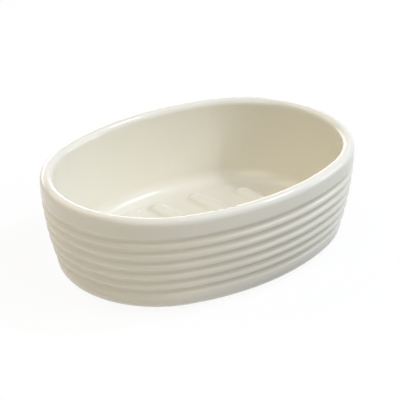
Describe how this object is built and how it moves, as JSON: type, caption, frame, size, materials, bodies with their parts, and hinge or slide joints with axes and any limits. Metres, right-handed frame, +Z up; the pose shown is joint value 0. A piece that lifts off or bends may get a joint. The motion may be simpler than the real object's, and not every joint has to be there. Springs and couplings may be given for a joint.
{
  "type": "soap dish",
  "caption": "Oval glazed ceramic soap dish with a rounded rim, a ribbed outer wall, a deep open well with raised drain bars on its floor, and soft anti-slip pads in a recess underneath.",
  "frame": {"origin": "centre of the footprint, on the surface that the dish stands on", "axes": "+X along the dish, +Y across it towards the side away from the viewer, +Z up out of the well"},
  "size_m": [0.13, 0.0974, 0.041],
  "materials": {
    "glaze": "glossy ivory glaze",
    "pad": "matt translucent silicone"
  },
  "bodies": {
    "root": {"dish_body": "glaze", "anti_slip_pad_front_left": "pad", "anti_slip_pad_front_right": "pad", "anti_slip_pad_back_left": "pad", "anti_slip_pad_back_right": "pad"}
  },
  "joints": []
}
